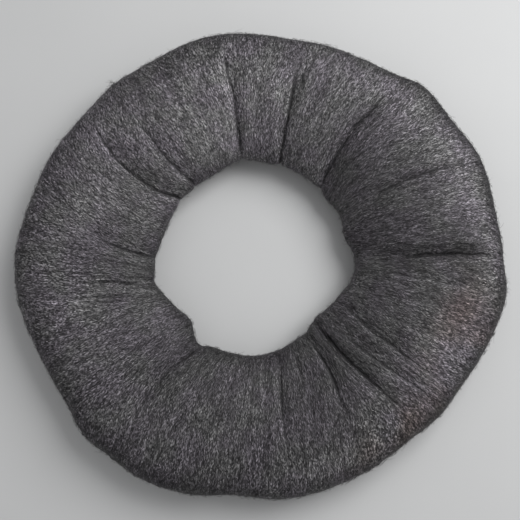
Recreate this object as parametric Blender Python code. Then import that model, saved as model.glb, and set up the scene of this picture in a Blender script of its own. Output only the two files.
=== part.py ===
"""A ring of steel wool, of the kind that a floor machine presses on a floor.

The real thing is one piece: a thick ribbon of fine steel strands, gathered into a round ring so that the
strands run across the ribbon, from the hole, over the crown and down the outer side. Where the ribbon is
crowded round the hole it creases into gathers, and between two gathers it stands up as a puff.

The ring is lofted. A rounded section is set up at each of many bearings round the ring, and neighbouring
sections are joined. Each line of points across the ring follows the strands, so a gather lies along a line.
Metres, +Z up. The origin is the middle of the footprint, on the surface that the ring lies on. Bearings are
in degrees, anticlockwise from +X, seen from above.
"""

import math

import bmesh
import bpy
import numpy as np
from mathutils import Vector, noise

# The ring
OUTER_RADIUS = 0.215  # mean, a 17 inch pad
HOLE_RADIUS = 0.083  # mean
LOFT = 0.048  # height of the crown over the floor
FLOOR_SAG = 0.0045  # how much of the round underside the ring's own weight presses flat
ROUNDNESS = 2.3  # power of the section's superellipse: 2 is an ellipse, and more is squarer
CROWN_SHIFT = 0.15  # how far outside the middle of the ribbon its crown stands, as a share of its width

# The outer edge, as bearing in degrees and how far the edge stands outside OUTER_RADIUS
OUTER_EDGE = (
    (2, 0.001), (10, 0.0), (24, 0.004), (33, 0.0005), (46, 0.003), (52, -0.005), (58, -0.008),
    (80, -0.0105), (92, -0.0065), (103, -0.004), (120, -0.009), (130, -0.0065), (142, -0.0085),
    (157, -0.004), (166, -0.0035), (181, 0.0025), (194, 0.0025), (203, -0.0015), (211, -0.0035),
    (220, -0.0015), (228, 0.006), (233, 0.003), (238, 0.0045), (245, 0.0055), (255, 0.002), (264, -0.0045),
    (275, -0.0015), (292, -0.004), (307, -0.007), (316, -0.004), (326, -0.004), (338, 0.001),
    (350, 0.006), (357, 0.0015),
)

# The edge of the hole, as bearing and how far it stands outside HOLE_RADIUS
HOLE_EDGE = (
    (0, -0.0035), (8, -0.0095), (18, -0.0085), (28, -0.0065), (37, -0.0085), (47, -0.007), (58, -0.004),
    (70, -0.0025), (82, -0.002), (95, 0.0015), (104, 0.0025), (114, 0.0), (122, -0.0015), (138, -0.0005),
    (152, 0.0005), (168, 0.0025), (182, 0.007), (195, 0.0115), (201, 0.010), (207, 0.007), (213, 0.005),
    (223, 0.0015), (229, 0.004), (233, 0.010), (237, 0.0125), (243, 0.0095), (252, 0.0085), (265, 0.007),
    (278, 0.003), (290, -0.001), (300, -0.004), (308, -0.010), (318, -0.0085), (330, -0.0065),
    (342, -0.0015), (352, -0.001),
)

# A gather is a crease along the strands, and a fold is a shallow one. Each row gives its bearings at the
# hole, one third and two thirds of the way out and at the outer edge; its depth and the width of its
# shoulder; and the stretch of the ribbon that it creases, as shares of the way out from the hole.
GATHERS = (
    (23.5, 24.8, 23.6, 22.5, 0.0035, 0.0050, 0.10, 0.90),
    (47.0, 51.8, 51.2, 51.0, 0.0072, 0.0048, -0.05, 0.85),
    (69.5, 71.0, 69.0, 67.5, 0.0012, 0.0035, -0.05, 0.75),
    (76.8, 79.0, 76.8, 76.5, 0.0068, 0.0038, -0.05, 0.85),
    (93.0, 91.8, 89.0, 87.0, 0.0012, 0.0035, 0.05, 0.80),
    (101.0, 99.1, 99.6, 98.5, 0.0054, 0.0036, -0.05, 0.92),
    (112.0, 113.5, 117.5, 119.0, 0.0014, 0.0040, 0.20, 1.05),
    (133.0, 134.8, 132.5, 130.5, 0.0042, 0.0042, -0.05, 0.62),
    (145.8, 148.8, 144.5, 139.5, 0.0054, 0.0042, -0.05, 0.88),
    (183.0, 177.5, 170.5, 165.5, 0.0038, 0.0042, -0.05, 0.75),
    (196.5, 193.0, 190.0, 187.0, 0.0038, 0.0036, -0.05, 0.60),
    (202.0, 198.5, 194.5, 189.5, 0.0024, 0.0042, 0.05, 0.85),
    (207.5, 206.0, 205.5, 205.0, 0.0012, 0.0035, 0.05, 0.85),
    (222.0, 220.0, 218.0, 216.5, 0.0014, 0.0035, 0.05, 0.85),
    (239.0, 234.0, 235.0, 237.5, 0.0056, 0.0055, -0.05, 0.82),
    (273.0, 272.0, 271.5, 271.0, 0.0014, 0.0035, -0.05, 0.65),
    (282.0, 278.0, 277.5, 277.0, 0.0026, 0.0038, -0.05, 0.88),
    (289.0, 287.0, 286.0, 285.0, 0.0010, 0.0035, -0.05, 0.75),
    (299.0, 298.8, 295.5, 292.5, 0.0026, 0.0036, -0.05, 0.72),
    (307.0, 306.8, 309.2, 309.0, 0.0056, 0.0042, -0.05, 0.82),
    (314.0, 315.2, 317.5, 318.5, 0.0018, 0.0036, -0.05, 0.92),
    (326.0, 323.8, 323.0, 324.0, 0.0022, 0.0038, -0.05, 0.90),
    (351.0, 350.3, 349.3, 348.5, 0.0022, 0.0050, 0.05, 0.95),
    (356.5, 356.5, 358.0, 356.5, 0.0066, 0.0046, 0.05, 0.95),
)
GATHER_PLACES = (0, 1 / 3, 2 / 3, 1)  # where a gather's bearings are given, as shares of the way out
FADE_IN = 0.15  # share of the ribbon over which a gather comes to its full depth
FADE_OUT = 0.35  # share over which it runs out
FLOOR_FADE = 0.010  # height over which gathers press flat towards the floor

# Hand-made unevenness
LUMP_SIZE = 0.060  # across one lump
LUMP_HEIGHT = 0.0012

# How finely the ring is modelled
LINE_STEP = 2.0  # mean degrees between neighbouring lines
FEWEST_LINES = 3  # from one gather to the next
CROWDING = 0.55  # how much closer together lines stand beside a gather, from 0 to 1
SECTION_STEPS = 32  # spans over the free part of the section, which is all of it but the flat underside

WOOL_COLOUR = (0.078, 0.074, 0.080, 1.0)
WOOL_ROUGHNESS = 0.55
WOOL_METALLIC = 0.6


def clear_scene():
    """Remove the objects of the startup scene."""
    for obj in list(bpy.data.objects):
        bpy.data.objects.remove(obj)


def round_curve(knots, bearings):
    """Values at bearings of a smooth closed curve through knots, which are pairs of bearing and value."""
    at, value = np.array(sorted((b % 360, v) for b, v in knots)).T
    at = np.concatenate([at[-2:] - 360, at, at[:2] + 360])
    value = np.concatenate([value[-2:], value, value[:2]])
    slope = np.zeros(len(at))
    slope[1:-1] = (value[2:] - value[:-2]) / (at[2:] - at[:-2])
    bearings = np.asarray(bearings) % 360
    i = np.clip(np.searchsorted(at, bearings, side="right") - 1, 1, len(at) - 3)
    span = at[i + 1] - at[i]
    t = (bearings - at[i]) / span
    return (
        (1 + 2 * t) * (1 - t) ** 2 * value[i]
        + t * (1 - t) ** 2 * span * slope[i]
        + t * t * (3 - 2 * t) * value[i + 1]
        - t * t * (1 - t) * span * slope[i + 1]
    )


def smooth_step(low, high, x):
    """0 up to low, 1 from high, and smooth between them."""
    t = np.clip((x - low) / (high - low), 0, 1)
    return t * t * (3 - 2 * t)


def line_of(gather):
    """The bearing that a gather's line is known by."""
    return (gather[1] + gather[2]) / 2


def line_bearings():
    """The bearing that each line is known by: one in each gather, and more beside gathers than between."""
    creases = sorted(line_of(gather) % 360 for gather in GATHERS)
    lines = []
    for start, end in zip(creases, creases[1:] + [creases[0] + 360]):
        count = max(FEWEST_LINES, round((end - start) / LINE_STEP))
        even = np.arange(count) / count
        crowded = (1 - np.cos(math.pi * even)) / 2
        lines.extend(start + (end - start) * (even + CROWDING * (crowded - even)))
    return np.array(lines)


def section():
    """The section's points as superellipse coordinates, from -1 to 1, x outwards and z up.

    They run from the outer edge of the flat underside, over the crown, to the flat's inner edge. The flat
    itself joins the last point to the first. The crown is still in the middle of the section here.
    """
    pressed = 1 - 2 * FLOOR_SAG / (LOFT + FLOOR_SAG)
    touch = math.asin(pressed ** (ROUNDNESS / 2))
    turn = np.linspace(-touch, math.pi + touch, SECTION_STEPS + 1)
    x = np.sign(np.cos(turn)) * np.abs(np.cos(turn)) ** (2 / ROUNDNESS)
    z = np.sign(np.sin(turn)) * np.abs(np.sin(turn)) ** (2 / ROUNDNESS)
    return x, z


def strand_bearing(line, out):
    """Bearing of a line at a share of the way out from the hole. It leans and bows as the gathers do."""
    bearing = line
    for k, place in enumerate(GATHER_PLACES):
        weight = 1
        for other in GATHER_PLACES[:k] + GATHER_PLACES[k + 1 :]:
            weight = weight * (out - other) / (place - other)
        lean = [(line_of(gather), gather[k] - line_of(gather)) for gather in GATHERS]
        bearing = bearing + weight * round_curve(lean, line)
    return bearing


def gather_depth(line, out, radius):
    """How deep the gathers press in at a point of a line."""
    depth = np.zeros(np.broadcast(line, out).shape)
    for gather in GATHERS:
        full, shoulder, start, end = gather[4:]
        turn = (line - line_of(gather) + 180) % 360 - 180
        across = np.abs(np.radians(turn)) * radius
        along = smooth_step(start, start + FADE_IN, out) * (1 - smooth_step(end - FADE_OUT, end, out))
        depth = np.maximum(depth, full * np.exp(-across / shoulder) * along)
    return depth


def lumps(points):
    """A little unevenness at each point, smooth and the same each time."""
    flat = points.reshape(-1, 3)
    height = [noise.noise(Vector(p) / LUMP_SIZE) for p in flat]
    return LUMP_HEIGHT * np.array(height).reshape(points.shape[:-1])


def points_at(bearing, radius, height):
    """Points from their bearings in degrees, their distances from the ring's axis and their heights."""
    turn = np.radians(bearing)
    return np.stack(np.broadcast_arrays(radius * np.cos(turn), radius * np.sin(turn), height), axis=-1)


def ring_points():
    """The ring's points, as an array of lines by section points by coordinates."""
    sx, sz = section()
    line = line_bearings()[:, None]
    even = (1 + sx) / 2
    out = np.broadcast_to(even + 4 * CROWN_SHIFT * even * (1 - even), (len(line), len(sx)))
    bearing = strand_bearing(line, out)
    outer = OUTER_RADIUS + round_curve(OUTER_EDGE, bearing)
    inner = HOLE_RADIUS + round_curve(HOLE_EDGE, bearing)
    half_width = (outer - inner) / 2
    half_height = (LOFT + FLOOR_SAG) / 2
    radius = inner + 2 * half_width * out
    height = half_height * (1 + sz) - FLOOR_SAG

    # The section's own outward direction, as outwards and upwards parts
    stretch = 1 - 4 * CROWN_SHIFT * sx  # of the ribbon's width, by moving the crown
    away = np.sign(sx) * np.abs(sx) ** (ROUNDNESS - 1) / (half_width * stretch)
    up = np.sign(sz) * np.abs(sz) ** (ROUNDNESS - 1) / half_height
    length = np.hypot(away, up)

    free = smooth_step(0, FLOOR_FADE, height)
    rise = free * (lumps(points_at(bearing, radius, height)) - gather_depth(line, out, radius))
    return points_at(bearing, radius + rise * away / length, height + rise * up / length)


def centred(points):
    """The points moved so that the middle of the footprint is at the origin."""
    low = points.min(axis=(0, 1))
    high = points.max(axis=(0, 1))
    middle = (low + high) / 2
    return points - np.array([middle[0], middle[1], 0])


def loft(name, points):
    """An object whose closed skin joins each closed section to the next, all the way round."""
    bm = bmesh.new()
    loops = [[bm.verts.new(p) for p in line] for line in points]
    for here, there in zip(loops, loops[1:] + loops[:1]):
        for k in range(len(here)):
            after = (k + 1) % len(here)
            bm.faces.new((here[k], there[k], there[after], here[after]))
    bmesh.ops.recalc_face_normals(bm, faces=bm.faces)
    mesh = bpy.data.meshes.new(name)
    bm.to_mesh(mesh)
    bm.free()
    mesh.shade_smooth()
    obj = bpy.data.objects.new(name, mesh)
    bpy.context.scene.collection.objects.link(obj)
    return obj


def wool_material():
    """Dark grey steel wool."""
    material = bpy.data.materials.new("steel_wool")
    material.use_nodes = True
    shader = material.node_tree.nodes["Principled BSDF"]
    shader.inputs["Base Color"].default_value = WOOL_COLOUR
    shader.inputs["Roughness"].default_value = WOOL_ROUGHNESS
    shader.inputs["Metallic"].default_value = WOOL_METALLIC
    material.diffuse_color = WOOL_COLOUR
    return material


def main():
    """Build the ring as one solid."""
    clear_scene()
    ring = loft("wool_ring", centred(ring_points()))
    ring.data.materials.append(wool_material())


main()
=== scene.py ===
"""The looks of a ring of steel wool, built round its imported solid.

The solid gives the ring's form. Here it becomes a carded mat with fine folds, covered with strands of steel
that are laid across it as the real ones are, and with loose ends that stand off it. Metres, +Z up.
"""

import math

import bmesh
import bpy
import numpy as np
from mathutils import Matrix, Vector
from mathutils.bvhtree import BVHTree


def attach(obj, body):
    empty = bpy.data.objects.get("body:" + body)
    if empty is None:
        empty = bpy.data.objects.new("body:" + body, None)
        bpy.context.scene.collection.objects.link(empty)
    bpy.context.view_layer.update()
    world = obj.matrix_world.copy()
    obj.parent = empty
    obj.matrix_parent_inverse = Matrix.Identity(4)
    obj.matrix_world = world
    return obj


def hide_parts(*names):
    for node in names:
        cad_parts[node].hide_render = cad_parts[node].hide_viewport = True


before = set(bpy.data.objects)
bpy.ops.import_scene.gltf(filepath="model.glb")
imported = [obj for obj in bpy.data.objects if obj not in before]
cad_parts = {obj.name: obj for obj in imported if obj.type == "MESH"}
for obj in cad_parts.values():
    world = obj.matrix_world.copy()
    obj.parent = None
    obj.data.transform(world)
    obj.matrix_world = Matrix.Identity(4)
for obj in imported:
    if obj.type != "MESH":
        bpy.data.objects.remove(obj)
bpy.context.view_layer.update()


# The table top that the ring was photographed on: one wide sheet of pale grey board, matt and clean. It
# shows through the hole and takes the ring's soft shadow. It isn't part of the object.

FLOOR_SIZE = 8.0
FLOOR_COLOUR = (0.58, 0.585, 0.585, 1.0)
FLOOR_ROUGHNESS = 0.9
FLOOR_GRAIN = 9.0  # faint patches in a metre
FLOOR_GRAIN_DETAIL = 3.0
FLOOR_UNEVENNESS = 0.03  # how much darker and paler the patches are


def add_node(tree, kind, inputs=(), **settings):
    """Add a node. Each input is a socket's name or number, with its value or the socket that feeds it."""
    node = tree.nodes.new(kind)
    for setting, value in settings.items():
        setattr(node, setting, value)
    for socket, value in dict(inputs).items():
        if isinstance(value, bpy.types.NodeSocket):
            tree.links.new(value, node.inputs[socket])
        else:
            node.inputs[socket].default_value = value
    return node


def add_material(name, roughness, metallic):
    """A material with an empty surface but for its shader, and that shader."""
    material = bpy.data.materials.new(name)
    material.use_nodes = True
    shader = material.node_tree.nodes["Principled BSDF"]
    shader.inputs["Roughness"].default_value = roughness
    shader.inputs["Metallic"].default_value = metallic
    return material, shader


def add_object(name, mesh, material):
    """An object at the origin that shows a mesh in one material."""
    mesh.materials.clear()
    mesh.materials.append(material)
    obj = bpy.data.objects.new(name, mesh)
    bpy.context.scene.collection.objects.link(obj)
    return obj


board_paint, board_shader = add_material("pale_board", FLOOR_ROUGHNESS, 0.0)
board_grain = add_node(
    board_paint.node_tree,
    "ShaderNodeTexNoise",
    {
        "Vector": add_node(board_paint.node_tree, "ShaderNodeTexCoord").outputs["Object"],
        "Scale": FLOOR_GRAIN,
        "Detail": FLOOR_GRAIN_DETAIL,
    },
)
board_colour = add_node(
    board_paint.node_tree,
    "ShaderNodeMix",
    {
        "Factor": board_grain.outputs["Fac"],
        6: tuple((1 - FLOOR_UNEVENNESS) * part for part in FLOOR_COLOUR[:3]) + (1.0,),
        7: tuple((1 + FLOOR_UNEVENNESS) * part for part in FLOOR_COLOUR[:3]) + (1.0,),
    },
    data_type="RGBA",
)
board_paint.node_tree.links.new(board_colour.outputs[2], board_shader.inputs["Base Color"])

board_mesh = bpy.data.meshes.new("table_top")
half_board = FLOOR_SIZE / 2
board_corners = [(x * half_board, y * half_board, 0) for x, y in ((-1, -1), (1, -1), (1, 1), (-1, 1))]
board_mesh.from_pydata(board_corners, [], [(0, 1, 2, 3)])
table_top = add_object("table_top", board_mesh, board_paint)


# The light: a broad soft lamp to the right, over the far side, and the pale room all round it.

LAMP_PLACE = Vector((0.685, 0.480, 0.929))
LAMP_SIZE = 0.9
LAMP_POWER = 13.3
ROOM_LIGHT = (0.425, 0.425, 0.43, 1.0)

lamp_data = bpy.data.lights.new("soft_lamp", "AREA")
lamp_data.shape = "SQUARE"
lamp_data.size = LAMP_SIZE
lamp_data.energy = LAMP_POWER
lamp = bpy.data.objects.new("soft_lamp", lamp_data)
lamp.location = LAMP_PLACE
lamp.rotation_euler = LAMP_PLACE.to_track_quat("Z", "Y").to_euler()
bpy.context.scene.collection.objects.link(lamp)

room = bpy.data.worlds.new("pale_room")
room.use_nodes = True
room.node_tree.nodes["Background"].inputs["Color"].default_value = ROOM_LIGHT
bpy.context.scene.world = room
bpy.context.scene.view_settings.view_transform = "Standard"


# The camera looks down on the ring from just in front of it, near enough for the front to look larger.

CAMERA_ANGLE = math.radians(79)  # above the horizon, as seen from where it aims
CAMERA_DISTANCE = 0.6445
CAMERA_AIM = Vector((-0.0003, -0.0052, 0.02))
CAMERA_LENS = 50.0

camera_data = bpy.data.cameras.new("camera")
camera_data.lens = CAMERA_LENS
camera = bpy.data.objects.new("camera", camera_data)
from_aim = Vector((0, -math.cos(CAMERA_ANGLE), math.sin(CAMERA_ANGLE)))
camera.location = CAMERA_AIM + CAMERA_DISTANCE * from_aim
camera.rotation_euler = (math.pi / 2 - CAMERA_ANGLE, 0, 0)
bpy.context.scene.collection.objects.link(camera)
bpy.context.scene.camera = camera


# The mat is a thick ribbon of carded steel shavings that all run one way, rolled and gathered by hand into a
# ring. Its strands run across the ribbon, out of the hole, over the crown and down the outer side. Where they
# crowd together round the hole they crease into gathers, and between the gathers they stand up as puffs.

MAT_LINES = 940  # lines of points round the ring, each across the ribbon along the strands
MAT_POINTS = 100  # points of a line
MAT_INSET = 0.0011  # how far the mat lies inside the ring's skin, which the laid strands fill
RAY_STEPS = 240  # steps between the rays of a line, before its points are set evenly
ROUNDS_ALONG = 5  # rounds of smoothing along the strands
ROUNDS_AROUND = 16  # and round the ring
ROUNDNESS = 2.3  # power of the section's superellipse, as in the ring's own solid
CROWN_SHIFT = 0.15  # how far outside the middle of the ribbon its crown stands, as there too

# Each gather's bearings at the hole, one third and two thirds of the way out and at the outer edge, as in the
# ring's own solid. A fit along the photo's dark lines gave them, and they were rounded and eased.
# Then how deeply the gather is creased along that line, and the stretch of the ribbon that is creased. Where
# it is only 0.0003 deep, the gather's real crease lies beside the line, in STRAY_CREASES.
GATHERS = (
    (23.5, 24.8, 23.6, 22.5, 0.0003, 0.20, 0.90),
    (47.0, 51.8, 51.2, 51.0, 0.0003, 0.00, 0.82),
    (69.5, 71.0, 69.0, 67.5, 0.0004, -0.05, 0.75),
    (76.8, 79.0, 76.8, 76.5, 0.0003, -0.15, 0.85),
    (93.0, 91.8, 89.0, 87.0, 0.0006, 0.15, 0.75),
    (101.0, 99.1, 99.6, 98.5, 0.0003, -0.05, 0.95),
    (112.0, 113.5, 117.5, 119.0, 0.0005, 0.45, 1.05),
    (133.0, 134.8, 132.5, 130.5, 0.0015, -0.15, 0.68),
    (145.8, 148.8, 144.5, 139.5, 0.0003, -0.10, 0.90),
    (183.0, 177.5, 170.5, 165.5, 0.0003, -0.05, 0.60),
    (196.5, 193.0, 190.0, 187.0, 0.0018, 0.05, 0.58),
    (202.0, 198.5, 194.5, 189.5, 0.0010, 0.20, 0.80),
    (207.5, 206.0, 205.5, 205.0, 0.0004, 0.15, 0.85),
    (222.0, 220.0, 218.0, 216.5, 0.0006, 0.10, 0.80),
    (239.0, 234.0, 235.0, 237.5, 0.0003, 0.00, 0.90),
    (273.0, 272.0, 271.5, 271.0, 0.0006, 0.00, 0.55),
    (282.0, 278.0, 277.5, 277.0, 0.0014, 0.10, 0.90),
    (289.0, 287.0, 286.0, 285.0, 0.0005, 0.00, 0.70),
    (299.0, 298.8, 295.5, 292.5, 0.0017, 0.05, 0.66),
    (307.0, 306.8, 309.2, 309.0, 0.0003, 0.00, 0.82),
    (314.0, 315.2, 317.5, 318.5, 0.0003, 0.15, 0.95),
    (326.0, 323.8, 323.0, 324.0, 0.0015, 0.10, 0.90),
    (351.0, 350.3, 349.3, 348.5, 0.0008, 0.10, 0.90),
    (356.5, 356.5, 358.0, 356.5, 0.0003, 0.40, 1.05),
)
GATHER_PLACES = (0, 1 / 3, 2 / 3, 1)  # where a gather's bearings are given, as shares of the way out

# Fine creases that lie between the gathers: the bearing of their line, depth, start and end
FINE_CREASES = (
    (60.0, 0.0004, 0.10, 0.60),
    (138.5, 0.0010, 0.55, 0.85),
    (155.0, 0.0005, 0.30, 0.85),
    (187.0, 0.0005, 0.60, 0.95),
    (243.0, 0.0004, 0.10, 0.50),
    (248.0, 0.0004, 0.40, 0.80),
    (267.0, 0.0004, 0.10, 0.80),
    (302.0, 0.0004, 0.50, 0.90),
    (332.0, 0.0004, 0.20, 0.70),
    (341.0, 0.0005, 0.10, 0.60),
)
# Creases beside their gather's line: its bearings moved to the crease, then depth, start and end
STRAY_CREASES = (
    (24.5, 25.8, 24.6, 23.5, 0.0014, 0.20, 0.95),
    (48.0, 52.6, 51.8, 51.6, 0.0020, -0.05, 0.86),
    (77.2, 78.6, 78.4, 79.4, 0.0019, -0.15, 0.86),
    (101.2, 99.5, 100.2, 99.3, 0.0016, -0.05, 0.98),
    (145.0, 148.9, 145.0, 140.2, 0.0022, -0.10, 0.95),
    (183.0, 177.2, 170.8, 166.0, 0.0018, -0.05, 0.52),
    (238.2, 233.4, 234.4, 236.9, 0.0015, -0.05, 0.88),
    (307.9, 307.7, 310.1, 309.9, 0.0017, 0.00, 0.85),
    (313.8, 314.9, 317.2, 318.2, 0.0012, 0.20, 1.00),
    (357.7, 357.6, 358.6, 357.2, 0.0024, 0.25, 1.02),
)
CREASE_HALF_WIDTH = 0.0006
CREASE_SPREAD = 0.15  # how much wider a crease is for its depth
CREASE_FADE_IN = 0.15  # share of the ribbon over which a crease comes to its full depth
CREASE_FADE_OUT = 0.3  # share over which it runs out
# Few strands lie across a crease: how far that reaches to either side, and the depth from which it does so
BARE_HALF_WIDTH = 0.0020
BARE_DEPTH = 0.0012
BARENESS = 0.9  # share of the laid strands that such a crease goes without

# Relief of the locks of strands, from broad to fine: ridge width in lines, ridge length in points, height
LOCKS = (
    (9.0, 16.0, 0.00020),
    (4.0, 8.0, 0.00007),
    (1.8, 2.5, 0.00004),
)
LOCK_FALLOFF = 5.0  # how sharply relief finer than a lock is smoothed away
RAGGEDNESS = 0.0003  # how far a crease strays to the side
RAGGED_WAVES = ((30, 12, 5), (30, 3, 7))  # width in lines, length in points and seed of its straying
GROOVE_WIDTH = 0.18  # of the line of painted shade between two locks, as a share of a lock's own height
# How dark the painted shade along those lines is
GROOVE_SHADE = 0.08
DARK_DEPTH = 0.0015  # depth of crease at which its painted shade is full, as no light reaches the bottom
FLOOR_FADE = 0.008  # height over which folds press flat towards the floor
UNDERSIDE_SHARE = 0.45  # how many laid strands the underside has, against the top
UNDERSIDE_EDGE = (0.001, 0.010)  # heights between which the one passes into the other

# Where a small tuft stands off the outer side
TUFT_BEARING = 131.0
TUFT_HEIGHT = 0.030
TUFT_RADIUS = 0.0025
TUFT_FROM = 0.8  # share of the way out past which the outer side is meant

# Where the steel has begun to rust: bearing, share of the way out, half width in degrees and half share
RUST_PATCHES = (
    (328.0, 0.90, 16.0, 0.20),
    (306.0, 0.88, 9.0, 0.12),
    (342.0, 0.72, 10.0, 0.14),
)
RUST_STRENGTH = 0.45
RUST_COVER = 0.6  # of a patch's middle
RUST_UNEVENNESS = 0.5
RUST_SPECKS = (12, 6, 6)  # width in lines, length in points and seed

# Broad patches of painted sheen and shade, where the wool looks brighter or duller for the way its strands
# lie and the light falls: bearing, share of the way out, half width in degrees, half share, and how much
# brighter. The places are given one by one, but not the last values: they were fitted to the photo's
# brightness, or set from ratios measured in it.
BROAD_PAINTED_LIGHT = (
    (20.0, 0.25, 45.0, 0.42, -0.34),
    (305.0, 0.35, 28.0, 0.38, -0.38),
    (255.0, 0.15, 35.0, 0.30, -0.21),
    (100.0, 0.35, 30.0, 0.45, 0.56),
    (165.0, 0.60, 40.0, 0.28, 0.52),
    (212.0, 0.62, 22.0, 0.22, 0.30),
    (45.0, 0.74, 20.0, 0.12, 0.35),
    (300.0, 0.86, 28.0, 0.08, 0.55),
    (342.0, 0.84, 16.0, 0.10, 0.28),
    (358.0, 0.70, 8.0, 0.12, -0.42),
    (4.0, 0.42, 12.0, 0.16, -0.14),
    (3.0, 0.88, 8.0, 0.08, 0.29),
    (18.0, 0.78, 9.0, 0.12, 0.37),
    (60.0, 0.15, 10.0, 0.20, 0.31),
    (150.0, 0.78, 9.0, 0.09, 0.22),
    (196.0, 0.20, 12.0, 0.20, 0.13),
    (330.0, 0.70, 9.0, 0.13, 0.60),
    (225.0, 0.00, 60.0, 0.09, -0.43),
    (20.0, 0.00, 50.0, 0.08, 0.45),
    (105.0, 0.04, 10.0, 0.10, 0.62),
    (150.0, 0.02, 9.0, 0.10, 0.42),
    # Painted shade down the outer side
    (30.0, 0.98, 50.0, 0.06, -0.72),
    (98.0, 0.98, 25.0, 0.06, -0.62),
    (245.0, 0.98, 40.0, 0.09, -0.55),
    (320.0, 1.00, 30.0, 0.06, -0.50),
    (312.0, 0.30, 16.0, 0.30, -0.20),
    (45.0, 0.15, 9.0, 0.15, -0.28),
    (0.0, 0.50, 10.0, 0.40, -0.12),
    (168.0, 0.50, 10.0, 0.15, 0.18),
    (301.0, 0.28, 10.0, 0.25, -0.16),
    (181.0, 0.32, 9.0, 0.28, -0.14),
    (203.0, 0.04, 10.0, 0.06, 0.28),
    (48.0, 0.96, 14.0, 0.06, -0.35),
    (8.0, 0.10, 12.0, 0.12, -0.18),
)

MAT_METALLIC = 0.55
MAT_ROUGHNESS = 0.6
BAKE_MAP = "OFBake"  # the name of the map on which a piece's colours are laid out


def round_curve(knots, bearings):
    """Values at bearings of a smooth closed curve through knots, which are pairs of bearing and value."""
    at, value = np.array(sorted((bearing % 360, value) for bearing, value in knots)).T
    at = np.concatenate([at[-2:] - 360, at, at[:2] + 360])
    value = np.concatenate([value[-2:], value, value[:2]])
    slope = np.zeros(len(at))
    slope[1:-1] = (value[2:] - value[:-2]) / (at[2:] - at[:-2])
    bearings = np.asarray(bearings) % 360
    i = np.clip(np.searchsorted(at, bearings, side="right") - 1, 1, len(at) - 3)
    span = at[i + 1] - at[i]
    t = (bearings - at[i]) / span
    return (
        (1 + 2 * t) * (1 - t) ** 2 * value[i]
        + t * (1 - t) ** 2 * span * slope[i]
        + t * t * (3 - 2 * t) * value[i + 1]
        - t * t * (1 - t) * span * slope[i + 1]
    )


def line_of(gather):
    """The bearing that a gather's line is known by."""
    return (gather[1] + gather[2]) / 2


def along_way(values, out):
    """Value at a share of the way out from the hole, on a smooth curve through those at GATHER_PLACES."""
    total = 0
    for k, place in enumerate(GATHER_PLACES):
        weight = 1
        for other in GATHER_PLACES[:k] + GATHER_PLACES[k + 1 :]:
            weight = weight * (out - other) / (place - other)
        total = total + weight * values[k]
    return total


def strand_bearing(line, out):
    """Bearing of a line at a share of the way out from the hole. It leans and bows as the gathers do."""
    leans = [
        round_curve([(line_of(gather), gather[k] - line_of(gather)) for gather in GATHERS], line)
        for k in range(len(GATHER_PLACES))
    ]
    return line + along_way(leans, out)


def smooth_step(low, high, x):
    """0 up to low, 1 from high, and smooth between them."""
    t = np.clip((x - low) / (high - low), 0, 1)
    return t * t * (3 - 2 * t)


def locks(width, length, seed):
    """Uneven relief of mean 0 and spread 1, in ridges of that width in lines and length in points."""
    rough = np.random.RandomState(seed).standard_normal((MAT_LINES, MAT_POINTS))
    across = np.fft.fftfreq(MAT_LINES)[:, None] * width
    along = np.fft.fftfreq(MAT_POINTS)[None, :] * length
    smooth = np.fft.ifft2(np.fft.fft2(rough) * np.exp(-LOCK_FALLOFF * (across**2 + along**2))).real
    return smooth / smooth.std()


# The ring's solid, as a surface that a ray can meet
solid = bmesh.new()
solid.from_mesh(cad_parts["wool_ring"].data)
bmesh.ops.remove_doubles(solid, verts=solid.verts, dist=1e-6)
skin = BVHTree.FromBMesh(solid)
solid_points = np.array([vert.co for vert in solid.verts])
solid.free()

from_axis = np.hypot(solid_points[:, 0], solid_points[:, 1])
ring_radius = (from_axis.min() + from_axis.max()) / 2  # of the circle through the middle of the ribbon
half_width = (from_axis.max() - from_axis.min()) / 2
ring_height = solid_points[:, 2].max()

# Rays from the middle of the ribbon find each line's points, from the middle of the underside up through
# the hole, over the crown and back. They are then set evenly along the line.
turn = np.linspace(-math.pi / 2, 1.5 * math.pi, RAY_STEPS + 1)
across = -np.sign(np.cos(turn)) * np.abs(np.cos(turn)) ** (2 / ROUNDNESS)
upwards = np.sign(np.sin(turn)) * np.abs(np.sin(turn)) ** (2 / ROUNDNESS)
even = (1 + across) / 2
ray_share = even + 4 * CROWN_SHIFT * even * (1 - even)
line = np.arange(MAT_LINES) * 360 / MAT_LINES
ray_bearing = np.radians(strand_bearing(line[:, None], ray_share))
mat_points = np.empty((MAT_LINES, MAT_POINTS, 3))
girth = np.empty(MAT_LINES)
for i in range(MAT_LINES):
    met = []
    for angle, reach, up in zip(ray_bearing[i], (2 * ray_share - 1) * half_width, upwards * ring_height / 2):
        outwards = Vector((math.cos(angle), math.sin(angle), 0))
        ribbon_middle = outwards * ring_radius + Vector((0, 0, ring_height / 2))
        met.append(skin.ray_cast(ribbon_middle, outwards * reach + Vector((0, 0, up)))[0])
    met = np.array(met)
    walked = np.concatenate([[0], np.cumsum(np.linalg.norm(np.diff(met, axis=0), axis=1))])
    stations = np.arange(MAT_POINTS) / MAT_POINTS * walked[-1]
    mat_points[i] = np.stack([np.interp(stations, walked, part) for part in met.T], axis=1)
    girth[i] = walked[-1]
ribbon_girth = girth.mean()

# Smoothing takes the solid's facets away. Round the ring it is stronger, and makes the folds gentler too.
for axis, rounds in ((1, ROUNDS_ALONG), (0, ROUNDS_AROUND)):
    for _ in range(rounds):
        mat_points = (
            np.roll(mat_points, 1, axis) + 2 * mat_points + np.roll(mat_points, -1, axis)
        ) / 4


def outward(points):
    """The unit direction out of the mat at each point of its grid."""
    around = np.roll(points, -1, 0) - np.roll(points, 1, 0)
    along = np.roll(points, -1, 1) - np.roll(points, 1, 1)
    out = np.cross(along, around)
    return out / np.linalg.norm(out, axis=-1, keepdims=True)


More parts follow.
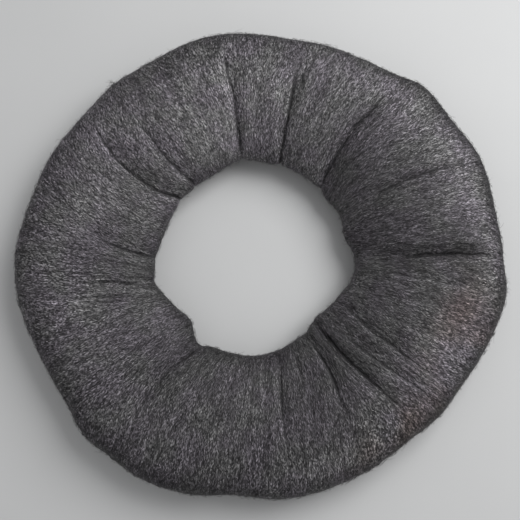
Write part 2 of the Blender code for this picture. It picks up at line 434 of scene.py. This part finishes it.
# Creases and locks of strands
point_radius = np.hypot(mat_points[..., 0], mat_points[..., 1])
point_bearing = np.degrees(np.arctan2(mat_points[..., 1], mat_points[..., 0]))
point_share = (point_radius - point_radius.min(1, keepdims=True)) / np.ptp(point_radius, axis=1)[:, None]
free = smooth_step(0, FLOOR_FADE, mat_points[..., 2])
ragged = RAGGEDNESS * sum(locks(*wave) for wave in RAGGED_WAVES)
crease = np.zeros((MAT_LINES, MAT_POINTS))
beside_crease = np.zeros((MAT_LINES, MAT_POINTS))
creases = [(line[:, None] - line_of(gather),) + gather[4:] for gather in GATHERS]
creases += [(line[:, None] - row[0],) + row[1:] for row in FINE_CREASES]
creases += [(point_bearing - along_way(row[:4], point_share),) + row[4:] for row in STRAY_CREASES]
for turned, depth, start, end in creases:
    away = np.radians((turned + 180) % 360 - 180) * point_radius + ragged
    begun = smooth_step(start, start + CREASE_FADE_IN, point_share)
    stretch = begun * (1 - smooth_step(end - CREASE_FADE_OUT, end, point_share))
    crease_half = CREASE_HALF_WIDTH + CREASE_SPREAD * depth
    crease = np.maximum(crease, depth * np.exp(-((away / crease_half) ** 2)) * stretch)
    bare = min(depth / BARE_DEPTH, 1) * np.exp(-((away / BARE_HALF_WIDTH) ** 2)) * stretch
    beside_crease = np.maximum(beside_crease, bare)
relief = np.zeros((MAT_LINES, MAT_POINTS))
groove = np.zeros((MAT_LINES, MAT_POINTS))
for lock_seed, (width, length, height) in enumerate(LOCKS):
    lock = np.abs(locks(width, length, lock_seed))
    relief += height * (lock - lock.mean())
    groove = np.maximum(groove, np.exp(-lock / GROOVE_WIDTH))
raised = free * (relief - crease) - MAT_INSET
mat_points = mat_points + raised[..., None] * outward(mat_points)


def over_patch(patch_bearing, patch_share, half_turn, half_share):
    """How far each point of the mat belongs to a patch: 1 in its middle, and less and less away from it."""
    turned = ((line - patch_bearing + 180) % 360 - 180)[:, None] / half_turn
    return np.exp(-(turned**2) - ((point_share - patch_share) / half_share) ** 2)


# Painted shade where a place lies deep, how rusty it is, its broad painted sheen and shade, and how thickly
# strands lie on it
depth_shade = np.clip(free * (crease / DARK_DEPTH + GROOVE_SHADE * groove), 0, 1)
rust = np.zeros((MAT_LINES, MAT_POINTS))
patchy = np.clip(RUST_COVER + RUST_UNEVENNESS * locks(*RUST_SPECKS), 0, 1)
top = mat_points[..., 2] > ring_height / 2
for patch in RUST_PATCHES:
    rust = np.maximum(rust, RUST_STRENGTH * over_patch(*patch) * patchy * top)
gleam = np.ones((MAT_LINES, MAT_POINTS))
for *patch, gain in BROAD_PAINTED_LIGHT:
    gleam *= 1 + gain * over_patch(*patch)
laid = UNDERSIDE_SHARE + (1 - UNDERSIDE_SHARE) * smooth_step(*UNDERSIDE_EDGE, mat_points[..., 2])
laid *= 1 - BARENESS * beside_crease
beside_tuft = np.radians(point_bearing % 360 - TUFT_BEARING) * point_radius
over_tuft = mat_points[..., 2] - TUFT_HEIGHT
tuft = (point_share > TUFT_FROM) * np.exp(-(beside_tuft**2 + over_tuft**2) / TUFT_RADIUS**2)
MAT_ATTRIBUTES = {"depth_shade": depth_shade, "rust": rust, "gleam": gleam, "laid": laid, "tuft": tuft}

row, column = np.meshgrid(np.arange(MAT_LINES), np.arange(MAT_POINTS), indexing="ij")
after_row = (row + 1) % MAT_LINES
after_column = (column + 1) % MAT_POINTS
corners = np.stack(
    [
        row * MAT_POINTS + column,
        row * MAT_POINTS + after_column,
        after_row * MAT_POINTS + after_column,
        after_row * MAT_POINTS + column,
    ],
    axis=-1,
)
mat_mesh = bpy.data.meshes.new("carded_mat")
mat_mesh.from_pydata(mat_points.reshape(-1, 3), [], corners.reshape(-1, 4).tolist())
mat_map = mat_mesh.uv_layers.new(name=BAKE_MAP)
corners_round = np.stack([row, row, row + 1, row + 1], axis=-1) / MAT_LINES
corners_across = np.stack([column, column + 1, column + 1, column], axis=-1) / MAT_POINTS
map_corners = np.stack([corners_round, corners_across], axis=-1)
mat_map.uv.foreach_set("vector", map_corners.astype(np.float32).ravel())
for attribute, value in MAT_ATTRIBUTES.items():
    layer = mat_mesh.attributes.new(attribute, "FLOAT", "POINT")
    layer.data.foreach_set("value", value.astype(np.float32).ravel())
mat_mesh.shade_smooth()


def calculate(tree, operation, *values):
    """The result of one step of arithmetic on numbers or sockets."""
    return add_node(tree, "ShaderNodeMath", enumerate(values), operation=operation).outputs[0]


def mix_colours(tree, share, first, second):
    """A colour between two, by a share from 0 to 1."""
    inputs = {"Factor": share, 6: first, 7: second}
    return add_node(tree, "ShaderNodeMix", inputs, data_type="RGBA", clamp_factor=False).outputs[2]


def map_range(tree, value, low, high, first, last):
    """A value carried from one range to another, and held at its ends."""
    limits = {"Value": value, "From Min": low, "From Max": high, "To Min": first, "To Max": last}
    return add_node(tree, "ShaderNodeMapRange", limits).outputs["Result"]


# Colours that steel wool shows, from the painted shade between strands to a strand that shines, and its first
# rust, also from painted shade up. The shine is greener in some parts and more purple in others, as the film
# of oxide on steel is.
STEEL_IN_SHADE = (0.010, 0.0095, 0.0105, 1.0)
GREENER_STEEL = (0.510, 0.503, 0.508, 1.0)
PURPLER_STEEL = (0.530, 0.490, 0.548, 1.0)
HUE_PATCHES = 38.0  # patches of hue in a metre
HUE_DETAIL = 2.0
HUE_RANGE = (0.38, 0.62)  # of the noise, from the greenest to the most purple
RUST_IN_SHADE = (0.020, 0.013, 0.010, 1.0)
BRIGHT_RUST = (0.42, 0.27, 0.20, 1.0)

steel_tint = bpy.data.node_groups.new("steel_tint", "ShaderNodeTree")
steel_tint.interface.new_socket("Tone", in_out="INPUT", socket_type="NodeSocketFloat")
steel_tint.interface.new_socket("Rust", in_out="INPUT", socket_type="NodeSocketFloat")
steel_tint.interface.new_socket("Colour", in_out="OUTPUT", socket_type="NodeSocketColor")
tint_given = steel_tint.nodes.new("NodeGroupInput")
patches = add_node(
    steel_tint,
    "ShaderNodeTexNoise",
    {
        "Vector": add_node(steel_tint, "ShaderNodeTexCoord").outputs["Object"],
        "Scale": HUE_PATCHES,
        "Detail": HUE_DETAIL,
    },
)
hue = map_range(steel_tint, patches.outputs["Fac"], *HUE_RANGE, 0.0, 1.0)
shining = mix_colours(steel_tint, hue, GREENER_STEEL, PURPLER_STEEL)
steel = mix_colours(steel_tint, tint_given.outputs["Tone"], STEEL_IN_SHADE, shining)
rusty = mix_colours(steel_tint, tint_given.outputs["Tone"], RUST_IN_SHADE, BRIGHT_RUST)
tinted = mix_colours(steel_tint, tint_given.outputs["Rust"], steel, rusty)
add_node(steel_tint, "NodeGroupOutput", {"Colour": tinted})

# Fine grain that runs along the strands, or leans to one side of them: smooth, and as flecks of which each
# has a random value. The map's share round the ring is bent back into a circle, so that the grain meets
# itself where the map's two ends join.
strand_grain = bpy.data.node_groups.new("strand_grain", "ShaderNodeTree")
strand_grain.interface.new_socket("Place", in_out="INPUT", socket_type="NodeSocketVector")
for measure in ("Width", "Length", "Lean"):
    strand_grain.interface.new_socket(measure, in_out="INPUT", socket_type="NodeSocketFloat")
strand_grain.interface.new_socket("Grain", in_out="OUTPUT", socket_type="NodeSocketFloat")
strand_grain.interface.new_socket("Fleck", in_out="OUTPUT", socket_type="NodeSocketFloat")
grain_given = strand_grain.nodes.new("NodeGroupInput")
grain_map = add_node(strand_grain, "ShaderNodeSeparateXYZ", {"Vector": grain_given.outputs["Place"]})
grain_along = calculate(strand_grain, "MULTIPLY", grain_map.outputs["Y"], ribbon_girth)
leaning_turn = calculate(strand_grain, "DIVIDE", grain_given.outputs["Lean"], ring_radius)
leaning = calculate(strand_grain, "MULTIPLY", grain_along, leaning_turn)
around = calculate(strand_grain, "MULTIPLY_ADD", grain_map.outputs["X"], 2 * math.pi, leaning)
circle = calculate(strand_grain, "DIVIDE", ring_radius, grain_given.outputs["Width"])
grain_place = add_node(
    strand_grain,
    "ShaderNodeCombineXYZ",
    {
        "X": calculate(strand_grain, "MULTIPLY", calculate(strand_grain, "COSINE", around), circle),
        "Y": calculate(strand_grain, "MULTIPLY", calculate(strand_grain, "SINE", around), circle),
        "Z": calculate(strand_grain, "DIVIDE", grain_along, grain_given.outputs["Length"]),
    },
)
grain = add_node(
    strand_grain,
    "ShaderNodeTexNoise",
    {"Vector": grain_place.outputs[0], "Scale": 1.0, "Detail": 1.0},
)
cells = add_node(strand_grain, "ShaderNodeTexVoronoi", {"Vector": grain_place.outputs[0], "Scale": 1.0})
cell_value = add_node(strand_grain, "ShaderNodeSeparateColor", {"Color": cells.outputs["Color"]})
add_node(strand_grain, "NodeGroupOutput", {"Grain": grain.outputs["Fac"], "Fleck": cell_value.outputs[0]})


def add_group(tree, group, output, **inputs):
    """One output of a node group that is used with those inputs."""
    return add_node(tree, "ShaderNodeGroup", inputs, node_tree=group).outputs[output]


def light_left(tree, gleam, shade, darkening):
    """A place's painted sheen and shade, darkened by the painted shade of lying deep."""
    lost = calculate(tree, "MULTIPLY", shade, darkening)
    return calculate(tree, "MULTIPLY", gleam, calculate(tree, "SUBTRACT", 1.0, lost))


# Flecks are painted glints: short bits of strand painted brighter, as if they caught the light, which the
# bump also raises a little. Streaks are long soft bands along the strands.
FLECK_WIDTH = 0.00045
FLECK_LENGTH = 0.0019
FLECK_LEAN = 0.15  # to either side of the strands
FLECK_RARITY = 5.0  # the higher, the fewer the flecks that shine
FLECK_HEIGHT = 0.0003  # by which they seem to stand up
STREAK_WIDTH = 0.0006
STREAK_LENGTH = 0.03
STREAK_RANGE = (0.3, 0.7)  # of the noise, from the dullest streak to the brightest
STREAK_TONES = (0.5, 1.5)  # by which those two multiply the tone
MAT_TONES = (0.03, 0.61)  # between the flecks, and of the brightest fleck
MAT_DARKENING = 0.9  # share of its painted sheen that the mat loses to painted shade at its deepest

mat_finish, mat_shader = add_material("carded_steel", MAT_ROUGHNESS, MAT_METALLIC)
mat_tree = mat_finish.node_tree
mat_shade, mat_rust, mat_painted_sheen_and_shade = [
    add_node(mat_tree, "ShaderNodeAttribute", attribute_name=attribute).outputs["Fac"]
    for attribute in ("depth_shade", "rust", "gleam")
]
map_place = add_node(mat_tree, "ShaderNodeUVMap", uv_map=BAKE_MAP).outputs["UV"]
fleck_size = {"Width": FLECK_WIDTH, "Length": FLECK_LENGTH}
streak_size = {"Width": STREAK_WIDTH, "Length": STREAK_LENGTH}
crossed = [
    add_group(mat_tree, strand_grain, "Fleck", Place=map_place, Lean=lean, **fleck_size)
    for lean in (-FLECK_LEAN, FLECK_LEAN)
]
glint_specks = calculate(mat_tree, "POWER", calculate(mat_tree, "MAXIMUM", *crossed), FLECK_RARITY)
streak = add_group(mat_tree, strand_grain, "Grain", Place=map_place, Lean=0.0, **streak_size)
streaks = map_range(mat_tree, streak, *STREAK_RANGE, *STREAK_TONES)
mat_light = light_left(mat_tree, mat_painted_sheen_and_shade, mat_shade, MAT_DARKENING)
mat_tone = calculate(
    mat_tree,
    "MULTIPLY",
    map_range(mat_tree, glint_specks, 0.0, 1.0, *MAT_TONES),
    calculate(mat_tree, "MULTIPLY", streaks, mat_light),
)
mat_colour = add_group(mat_tree, steel_tint, "Colour", Tone=mat_tone, Rust=mat_rust)
mat_tree.links.new(mat_colour, mat_shader.inputs["Base Color"])
bump = add_node(mat_tree, "ShaderNodeBump", {"Height": glint_specks, "Distance": FLECK_HEIGHT, "Strength": 1.0})
mat_tree.links.new(bump.outputs["Normal"], mat_shader.inputs["Normal"])

mat = add_object("carded_mat", mat_mesh, mat_finish)
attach(mat, "root")
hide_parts("wool_ring")


# Strands lie over the mat in coats. Each is a steel shaving, thin and three-sided, that runs across the
# ribbon with a little lean and wave, follows the folds, and tapers at both ends.

LENGTH_SPREAD = (0.6, 1.4)  # shortest and longest strand, against its coat's own length
STRAND_THICKNESS = 0.6  # of a strand, against its width
END_TAPER = 0.8  # how much thinner a strand is at its ends
END_SHARPNESS = 3.0  # the higher, the nearer the ends it begins to taper
GLINT_WAVES = 2.5  # painted glints, brighter and darker along a strand
STRAND_DARKENING = 0.85  # share of its painted sheen that a strand loses to painted shade at the mat's deepest
NOISE_SPREAD = 0.25  # how far noise strays from its middle
STRAND_STEP = 1.37  # through the noise, from one strand to the next
SEED_STEP = 17.3  # and from one seed to the next
MAP_EDGE = 1e-4  # the very edge of the mat's map counts as outside it

# A strand's colour map: tones lie across it and rust up it
STRAND_MAP_WIDTH = 0.02  # how wide a strand's faces are there
TONE_COLUMNS = (0.01, 0.98)  # of the darkest and the brightest tone
FIRST_ROW = 0.02
RUST_ROWS = 0.9  # how far above the first row full rust lies


def random_number(tree, low, high, strand, seed):
    """A random number for each strand."""
    inputs = {2: low, 3: high, "ID": strand, "Seed": seed}
    return add_node(tree, "FunctionNodeRandomValue", inputs, data_type="FLOAT").outputs[1]


def wander(tree, along, strand, waves, seed):
    """A smooth random curve from -1 to 1 along each strand, with about that many waves."""
    place = add_node(
        tree,
        "ShaderNodeCombineXYZ",
        {
            "X": calculate(tree, "MULTIPLY", along, waves),
            "Y": calculate(tree, "MULTIPLY", strand, STRAND_STEP),
            "Z": calculate(tree, "MULTIPLY", seed, SEED_STEP),
        },
    )
    noise = add_node(tree, "ShaderNodeTexNoise", {"Vector": place.outputs[0], "Scale": 1.0, "Detail": 0.0})
    return calculate(tree, "DIVIDE", calculate(tree, "SUBTRACT", noise.outputs["Fac"], 0.5), NOISE_SPREAD)


def stored(tree, attribute, kind="FLOAT"):
    """A value that the mat's mesh holds at each point."""
    return add_node(tree, "GeometryNodeInputNamedAttribute", {"Name": attribute}, data_type=kind).outputs[0]


def keep_on_map(tree, share):
    """A share of the way round or across the mat, brought back onto its map."""
    wrapped = calculate(tree, "FRACT", share)
    return calculate(tree, "MINIMUM", calculate(tree, "MAXIMUM", wrapped, MAP_EDGE), 1 - MAP_EDGE)


strand_coat = bpy.data.node_groups.new("strand_coat", "GeometryNodeTree")
strand_coat.interface.new_socket("Mat", in_out="INPUT", socket_type="NodeSocketGeometry")
COAT_INPUTS = (
    ("Strands per m2", "Float"),
    ("Points", "Int"),
    ("Length", "Float"),
    ("Width", "Float"),
    ("Lift", "Float"),
    ("Rise", "Float"),
    ("Lean", "Float"),
    ("Wave", "Float"),
    ("Waves", "Float"),
    ("Darkest", "Float"),
    ("Brightest", "Float"),
    ("Rarity", "Float"),
    ("Glint", "Float"),
    ("Seed", "Int"),
    ("Where", "String"),
    ("Finish", "Material"),
)
for wanted, kind in COAT_INPUTS:
    strand_coat.interface.new_socket(wanted, in_out="INPUT", socket_type="NodeSocket" + kind)
strand_coat.interface.new_socket("Strands", in_out="OUTPUT", socket_type="NodeSocketGeometry")

tree = strand_coat
asked = tree.nodes.new("NodeGroupInput").outputs
seeds = [asked["Seed"]] + [calculate(tree, "ADD", asked["Seed"], step) for step in range(1, 7)]
mat_place = stored(tree, BAKE_MAP, "FLOAT_VECTOR")
thickly = stored(tree, asked["Where"])
scattered = add_node(
    tree,
    "GeometryNodeDistributePointsOnFaces",
    {
        "Mesh": asked["Mat"],
        "Density": calculate(tree, "MULTIPLY", asked["Strands per m2"], thickly),
        "Seed": seeds[0],
    },
)
roots = tree.nodes.new("GeometryNodeCaptureAttribute")
roots.capture_items.new("VECTOR", "Place")
roots.capture_items.new("INT", "Strand")
tree.links.new(scattered.outputs["Points"], roots.inputs["Geometry"])
tree.links.new(mat_place, roots.inputs["Place"])
tree.links.new(tree.nodes.new("GeometryNodeInputIndex").outputs[0], roots.inputs["Strand"])
strand = roots.outputs["Strand"]

# One straight strand stands at each root, and then all are bent over the mat
straight = add_node(
    tree,
    "GeometryNodeResampleCurve",
    {
        "Curve": add_node(
            tree, "GeometryNodeCurvePrimitiveLine", {"Start": (0, 0, 0), "End": (0, 0, 1e-5)}
        ).outputs[0],
        "Count": asked["Points"],
    },
)
instanced = add_node(
    tree,
    "GeometryNodeInstanceOnPoints",
    {"Points": roots.outputs["Geometry"], "Instance": straight.outputs[0]},
)
strands = add_node(tree, "GeometryNodeRealizeInstances", {"Geometry": instanced.outputs[0]})
along = tree.nodes.new("GeometryNodeSplineParameter").outputs["Factor"]
from_middle = calculate(tree, "SUBTRACT", along, 0.5)
own_spread = random_number(tree, *LENGTH_SPREAD, strand, seeds[0])
own_length = calculate(tree, "MULTIPLY", asked["Length"], own_spread)
run = calculate(tree, "MULTIPLY", from_middle, own_length)
lean = calculate(tree, "MULTIPLY", asked["Lean"], random_number(tree, -1.0, 1.0, strand, seeds[1]))
stray = calculate(
    tree,
    "ADD",
    calculate(tree, "MULTIPLY", run, lean),
    calculate(tree, "MULTIPLY", asked["Wave"], wander(tree, along, strand, asked["Waves"], seeds[0])),
)
root_place = add_node(
    tree, "ShaderNodeSeparateXYZ", {"Vector": tree.nodes.new("GeometryNodeInputPosition").outputs[0]}
)
root_radius = calculate(
    tree,
    "SQRT",
    calculate(
        tree,
        "ADD",
        calculate(tree, "POWER", root_place.outputs["X"], 2.0),
        calculate(tree, "POWER", root_place.outputs["Y"], 2.0),
    ),
)
on_mat = add_node(tree, "ShaderNodeSeparateXYZ", {"Vector": roots.outputs["Place"]})
full_turn = calculate(tree, "MULTIPLY", root_radius, 2 * math.pi)
share_round = calculate(tree, "ADD", on_mat.outputs["X"], calculate(tree, "DIVIDE", stray, full_turn))
share_across = calculate(tree, "ADD", on_mat.outputs["Y"], calculate(tree, "DIVIDE", run, ribbon_girth))
target = add_node(
    tree,
    "ShaderNodeCombineXYZ",
    {"X": keep_on_map(tree, share_round), "Y": keep_on_map(tree, share_across)},
).outputs[0]
found = []
for source in ("GeometryNodeInputPosition", "GeometryNodeInputNormal"):
    inputs = {
        "Mesh": asked["Mat"],
        "Value": tree.nodes.new(source).outputs[0],
        "UV Map": mat_place,
        "Sample UV": target,
    }
    found.append(add_node(tree, "GeometryNodeSampleUVSurface", inputs, data_type="FLOAT_VECTOR").outputs[0])
lift = calculate(tree, "MULTIPLY", asked["Lift"], random_number(tree, 0.0, 1.0, strand, seeds[2]))
sprung = calculate(
    tree,
    "MULTIPLY",
    calculate(tree, "MULTIPLY", asked["Rise"], random_number(tree, 0.0, 1.0, strand, seeds[3])),
    calculate(tree, "POWER", along, 2.0),
)
off_mat = add_node(
    tree,
    "ShaderNodeVectorMath",
    {0: found[1], "Scale": calculate(tree, "ADD", lift, sprung)},
    operation="SCALE",
)
laid_place = add_node(tree, "ShaderNodeVectorMath", {0: found[0], 1: off_mat.outputs[0]}, operation="ADD")
parts = add_node(tree, "ShaderNodeSeparateXYZ", {"Vector": laid_place.outputs[0]})
half_strand = calculate(tree, "MULTIPLY", asked["Width"], 0.5)
over_floor = add_node(
    tree,
    "ShaderNodeCombineXYZ",
    {
        "X": parts.outputs["X"],
        "Y": parts.outputs["Y"],
        "Z": calculate(tree, "MAXIMUM", parts.outputs["Z"], half_strand),
    },
)
bent = add_node(
    tree, "GeometryNodeSetPosition", {"Geometry": strands.outputs[0], "Position": over_floor.outputs[0]}
)
rolled = add_node(
    tree,
    "GeometryNodeSetCurveTilt",
    {
        "Curve": bent.outputs[0],
        "Tilt": random_number(tree, 0.0, 2 * math.pi, strand, seeds[4]),
    },
)

# Tone: each strand has its own, with painted glints brighter and darker along it, and painted shade
# where it lies deep
shade = stored(tree, "depth_shade")
stain = stored(tree, "rust")
chance = calculate(tree, "POWER", random_number(tree, 0.0, 1.0, strand, seeds[5]), asked["Rarity"])
own_tone = map_range(tree, chance, 0.0, 1.0, asked["Darkest"], asked["Brightest"])
shimmer = calculate(tree, "MULTIPLY", asked["Glint"], wander(tree, along, strand, GLINT_WAVES, seeds[6]))
glint = calculate(tree, "ADD", 1.0, shimmer)
lit = light_left(tree, stored(tree, "gleam"), shade, STRAND_DARKENING)
tone = calculate(tree, "MULTIPLY", calculate(tree, "MULTIPLY", own_tone, glint), lit)
toned = tree.nodes.new("GeometryNodeCaptureAttribute")
for kept, source in (("Tone", tone), ("Along", along)):
    toned.capture_items.new("FLOAT", kept)
    tree.links.new(source, toned.inputs[kept])
toned.capture_items.new("VECTOR", "Place")
tree.links.new(target, toned.inputs["Place"])
tree.links.new(rolled.outputs[0], toned.inputs["Geometry"])

triangle = add_node(tree, "GeometryNodeCurvePrimitiveCircle", {"Resolution": 3, "Radius": 1.0})
flattened = add_node(
    tree,
    "GeometryNodeTransform",
    {"Geometry": triangle.outputs["Curve"], "Scale": (1.0, STRAND_THICKNESS, 1.0)},
)
edges = tree.nodes.new("GeometryNodeCaptureAttribute")
edges.capture_items.new("FLOAT", "Round")
tree.links.new(tree.nodes.new("GeometryNodeSplineParameter").outputs["Factor"], edges.inputs["Round"])
tree.links.new(flattened.outputs[0], edges.inputs["Geometry"])
to_end = calculate(tree, "ABSOLUTE", calculate(tree, "MULTIPLY", from_middle, 2.0))
thinned = calculate(tree, "MULTIPLY", END_TAPER, calculate(tree, "POWER", to_end, END_SHARPNESS))
taper = calculate(tree, "SUBTRACT", 1.0, thinned)
shaved = add_node(
    tree,
    "GeometryNodeCurveToMesh",
    {
        "Curve": toned.outputs["Geometry"],
        "Profile Curve": edges.outputs["Geometry"],
        "Scale": calculate(tree, "MULTIPLY", half_strand, taper),
        "Fill Caps": True,
    },
)
beside_tone = calculate(tree, "MULTIPLY", edges.outputs["Round"], STRAND_MAP_WIDTH)
beside_row = calculate(tree, "MULTIPLY", toned.outputs["Along"], 2 * STRAND_MAP_WIDTH)
map_tone = calculate(tree, "ADD", toned.outputs["Tone"], beside_tone)
map_rust = calculate(
    tree,
    "ADD",
    calculate(tree, "MULTIPLY", stain, RUST_ROWS),
    calculate(tree, "ADD", FIRST_ROW, beside_row),
)
colour_place = add_node(
    tree,
    "ShaderNodeCombineXYZ",
    {"X": map_range(tree, map_tone, 0.0, 1.0, *TONE_COLUMNS), "Y": map_rust},
)
mapped = add_node(
    tree,
    "GeometryNodeStoreNamedAttribute",
    {"Geometry": shaved.outputs[0], "Name": BAKE_MAP, "Value": colour_place.outputs[0]},
    data_type="FLOAT2",
    domain="CORNER",
)
placed = add_node(
    tree,
    "GeometryNodeStoreNamedAttribute",
    {"Geometry": mapped.outputs[0], "Name": "place_on_mat", "Value": toned.outputs["Place"]},
    data_type="FLOAT_VECTOR",
    domain="POINT",
)
finished = add_node(
    tree,
    "GeometryNodeSetMaterial",
    {"Geometry": placed.outputs[0], "Material": asked["Finish"]},
)
add_node(tree, "NodeGroupOutput", {"Strands": finished.outputs[0]})


def lay_coat(name, finish, sizes):
    """Lay a coat of strands over the mat, as a plain mesh on an object of its own."""
    obj = bpy.data.objects.new(name, mat_mesh)
    bpy.context.scene.collection.objects.link(obj)
    coat = obj.modifiers.new("strand_coat", "NODES")
    coat.node_group = strand_coat
    listed = strand_coat.interface.items_tree
    sockets = {item.name: item.identifier for item in listed if item.in_out == "INPUT"}
    for socket, value in dict(sizes, Finish=finish).items():
        coat[sockets[socket]] = value
    evaluated = obj.evaluated_get(bpy.context.evaluated_depsgraph_get())
    mesh = bpy.data.meshes.new_from_object(evaluated)
    obj.modifiers.clear()
    obj.data = mesh
    for spent in set(MAT_ATTRIBUTES) & set(mesh.attributes.keys()):
        mesh.attributes.remove(mesh.attributes[spent])
    mesh.name = name
    mesh.shade_smooth()
    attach(obj, "root")
    return obj


STRAND_ROUGHNESS = 0.38
STRAND_METALLIC = 0.75
STRAND_FLECK_RARITY = 3.0
STRAND_GLINTS = (0.25, 2.2)  # by which its dullest and brightest flecks multiply a strand's tone

strand_finish, strand_shader = add_material("drawn_steel", STRAND_ROUGHNESS, STRAND_METALLIC)
strand_tree = strand_finish.node_tree
strand_map = add_node(
    strand_tree,
    "ShaderNodeSeparateXYZ",
    {"Vector": add_node(strand_tree, "ShaderNodeUVMap", uv_map=BAKE_MAP).outputs["UV"]},
)
strand_place = add_node(strand_tree, "ShaderNodeAttribute", attribute_name="place_on_mat").outputs["Vector"]
# The strands carry the same painted glints as the mat where they lie on it
fleck = add_group(strand_tree, strand_grain, "Fleck", Place=strand_place, Lean=0.0, **fleck_size)
rare = calculate(strand_tree, "POWER", fleck, STRAND_FLECK_RARITY)
glints = map_range(strand_tree, rare, 0.0, 1.0, *STRAND_GLINTS)
strand_tone = calculate(strand_tree, "MULTIPLY", strand_map.outputs["X"], glints)
strand_colour = add_group(
    strand_tree, steel_tint, "Colour", Tone=strand_tone, Rust=strand_map.outputs["Y"]
)
strand_tree.links.new(strand_colour, strand_shader.inputs["Base Color"])

COATS = (
    # The widest and dullest strands, close on the mat
    (
        "under_coat",
        {
            "Strands per m2": 36000.0,
            "Points": 3,
            "Length": 0.009,
            "Width": 0.0004,
            "Lift": 0.0006,
            "Rise": 0.0,
            "Lean": 0.45,
            "Wave": 0.0005,
            "Waves": 1.5,
            "Darkest": 0.1,
            "Brightest": 0.5,
            "Rarity": 1.0,
            "Glint": 0.3,
            "Seed": 11,
            "Where": "laid",
        },
    ),
    # Finer strands over those
    (
        "middle_coat",
        {
            "Strands per m2": 36000.0,
            "Points": 3,
            "Length": 0.008,
            "Width": 0.00035,
            "Lift": 0.001,
            "Rise": 0.0,
            "Lean": 0.45,
            "Wave": 0.0005,
            "Waves": 1.5,
            "Darkest": 0.1,
            "Brightest": 0.6,
            "Rarity": 1.3,
            "Glint": 0.4,
            "Seed": 23,
            "Where": "laid",
        },
    ),
    # The finest and brightest short strands, some of which spring up at one end
    (
        "top_coat",
        {
            "Strands per m2": 36000.0,
            "Points": 3,
            "Length": 0.007,
            "Width": 0.0003,
            "Lift": 0.0014,
            "Rise": 0.0008,
            "Lean": 0.55,
            "Wave": 0.0005,
            "Waves": 1.5,
            "Darkest": 0.1,
            "Brightest": 0.8,
            "Rarity": 1.6,
            "Glint": 0.5,
            "Seed": 37,
            "Where": "laid",
        },
    ),
    # Long waving strands that lie over all of it
    (
        "long_strands",
        {
            "Strands per m2": 18000.0,
            "Points": 8,
            "Length": 0.018,
            "Width": 0.0003,
            "Lift": 0.0016,
            "Rise": 0.0,
            "Lean": 0.45,
            "Wave": 0.0014,
            "Waves": 2.5,
            "Darkest": 0.1,
            "Brightest": 0.8,
            "Rarity": 1.5,
            "Glint": 0.8,
            "Seed": 53,
            "Where": "laid",
        },
    ),
    # Ends that stand off the mat all round
    (
        "loose_ends",
        {
            "Strands per m2": 6000.0,
            "Points": 6,
            "Length": 0.012,
            "Width": 0.00022,
            "Lift": 0.0012,
            "Rise": 0.004,
            "Lean": 0.8,
            "Wave": 0.0016,
            "Waves": 2.0,
            "Darkest": 0.1,
            "Brightest": 0.7,
            "Rarity": 1.2,
            "Glint": 0.5,
            "Seed": 71,
            "Where": "laid",
        },
    ),
    # The small tuft on the outer side
    (
        "tuft",
        {
            "Strands per m2": 1500000.0,
            "Points": 7,
            "Length": 0.013,
            "Width": 0.00025,
            "Lift": 0.0012,
            "Rise": 0.0085,
            "Lean": 0.9,
            "Wave": 0.0016,
            "Waves": 2.0,
            "Darkest": 0.1,
            "Brightest": 0.5,
            "Rarity": 1.2,
            "Glint": 0.5,
            "Seed": 83,
            "Where": "tuft",
        },
    ),
)
for coat_name, coat_sizes in COATS:
    lay_coat(coat_name, strand_finish, coat_sizes)
